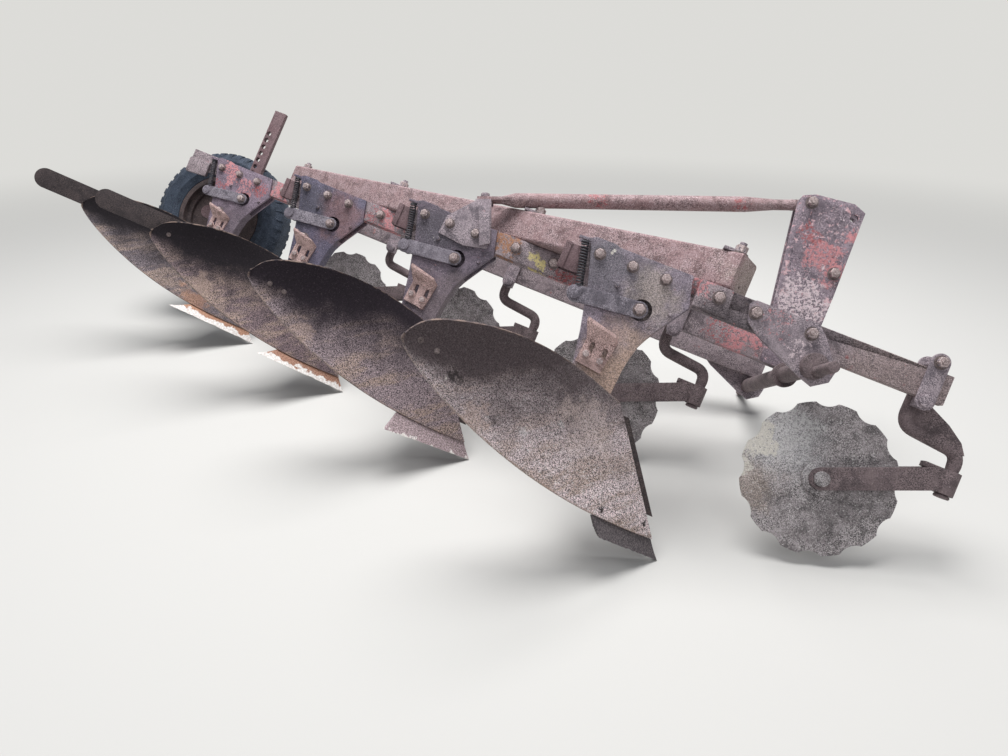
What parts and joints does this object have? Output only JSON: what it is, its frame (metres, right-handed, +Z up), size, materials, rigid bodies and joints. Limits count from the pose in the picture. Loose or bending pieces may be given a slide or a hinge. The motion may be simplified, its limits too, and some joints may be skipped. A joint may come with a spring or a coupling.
{
  "type": "moldboard plough",
  "caption": "Mounted moldboard plough with trip legs on staggered beams, a diagonal main tube, rolling coulters, a gauge wheel and a three-point hitch.",
  "frame": {"origin": "on the right lower hitch pin's axis, where the pin leaves its crank", "axes": "+Z up with the plough parked on level ground; the beams run along +X towards the tractor, tipped nose and land side down as it lies in the yard; +Y towards the land side on the left"},
  "size_m": [3.4576, 2.0284, 0.9885],
  "materials": {
    "tube_rust": "maroon paint gone to fine rust",
    "beam_paint": "flaked red paint over grey and brown rust",
    "plate_rust": "dark grey-brown rust",
    "mast_paint": "pinkish faded red paint, speckled",
    "leg_paint": "faded red paint with rust",
    "mold_rust": "dark brown granular rust",
    "share_steel": "rust with worn white and orange edges",
    "casting_rust": "dark rust",
    "bracket_rust": "light tan-brown rust",
    "spring_steel": "dark oily steel",
    "arm_rust": "brown rust",
    "disc_steel": "dull grey steel with rust bloom and cream paint left in patches",
    "rim_rust": "dark rust",
    "tyre": "weathered blue-grey rubber"
  },
  "bodies": {
    "frame": {"main_tube": "tube_rust", "tube_clamps": "plate_rust", "beam_1": "beam_paint", "beam_2": "beam_paint", "beam_3": "beam_paint", "beam_4": "beam_paint", "standard_1": "plate_rust", "standard_2": "plate_rust", "standard_3": "plate_rust", "standard_4": "plate_rust", "trip_links": "plate_rust", "trip_springs": "spring_steel", "spring_boxes": "plate_rust", "trash_brackets": "bracket_rust", "moldboard_1": "mold_rust", "moldboard_2": "mold_rust", "moldboard_3": "mold_rust", "moldboard_4": "mold_rust", "share_1": "share_steel", "share_2": "share_steel", "share_3": "share_steel", "share_4": "share_steel", "frogs": "casting_rust", "landsides": "mold_rust", "wing_braces": "arm_rust", "tailpiece_3": "mold_rust", "tailpiece_4": "mold_rust", "hitch_plates": "plate_rust", "cross_shaft": "arm_rust", "mast": "mast_paint", "brace": "tube_rust", "brace_bracket": "plate_rust", "coulter_clamps": "plate_rust", "coulter_shanks": "arm_rust", "wheel_leg": "leg_paint", "wheel_bracket": "plate_rust"},
    "coulter_1": {"coulter_yoke_1": "arm_rust"},
    "disc_1": {"coulter_disc_1": "disc_steel"},
    "coulter_2": {"coulter_yoke_2": "arm_rust"},
    "disc_2": {"coulter_disc_2": "disc_steel"},
    "coulter_3": {"coulter_yoke_3": "arm_rust"},
    "disc_3": {"coulter_disc_3": "disc_steel"},
    "coulter_4": {"coulter_yoke_4": "arm_rust"},
    "disc_4": {"coulter_disc_4": "disc_steel"},
    "gauge_wheel": {"wheel_rim": "rim_rust", "wheel_tyre": "tyre"}
  },
  "joints": [
    {"name": "coulter_1_swivel", "type": "hinge", "parent": "frame", "child": "coulter_1", "pos_m": [0.37124, 0.0131, -0.2622], "axis": [0.2948, 0.461, 0.837], "range_deg": [-20, 20]},
    {"name": "disc_1_spin", "type": "hinge", "parent": "coulter_1", "child": "disc_1", "pos_m": [0.04548, -0.03032, -0.29322], "axis": [-0.074, 0.8843, -0.461], "continuous": true},
    {"name": "coulter_2_swivel", "type": "hinge", "parent": "frame", "child": "coulter_2", "pos_m": [-0.26376, 0.4191, -0.2622], "axis": [0.2948, 0.461, 0.837], "range_deg": [-20, 20]},
    {"name": "disc_2_spin", "type": "hinge", "parent": "coulter_2", "child": "disc_2", "pos_m": [-0.58952, 0.37568, -0.29322], "axis": [-0.074, 0.8843, -0.461], "continuous": true},
    {"name": "coulter_3_swivel", "type": "hinge", "parent": "frame", "child": "coulter_3", "pos_m": [-0.89876, 0.8251, -0.2622], "axis": [0.2948, 0.461, 0.837], "range_deg": [-20, 20]},
    {"name": "disc_3_spin", "type": "hinge", "parent": "coulter_3", "child": "disc_3", "pos_m": [-1.22452, 0.78168, -0.29322], "axis": [-0.074, 0.8843, -0.461], "continuous": true},
    {"name": "coulter_4_swivel", "type": "hinge", "parent": "frame", "child": "coulter_4", "pos_m": [-1.53376, 1.2311, -0.2622], "axis": [0.2948, 0.461, 0.837], "range_deg": [-20, 20]},
    {"name": "disc_4_spin", "type": "hinge", "parent": "coulter_4", "child": "disc_4", "pos_m": [-1.85952, 1.18768, -0.29322], "axis": [-0.074, 0.8843, -0.461], "continuous": true},
    {"name": "gauge_wheel_spin", "type": "hinge", "parent": "frame", "child": "gauge_wheel", "pos_m": [-2.60051, 1.45654, -0.03819], "axis": [-0.074, 0.8843, -0.461], "continuous": true}
  ]
}
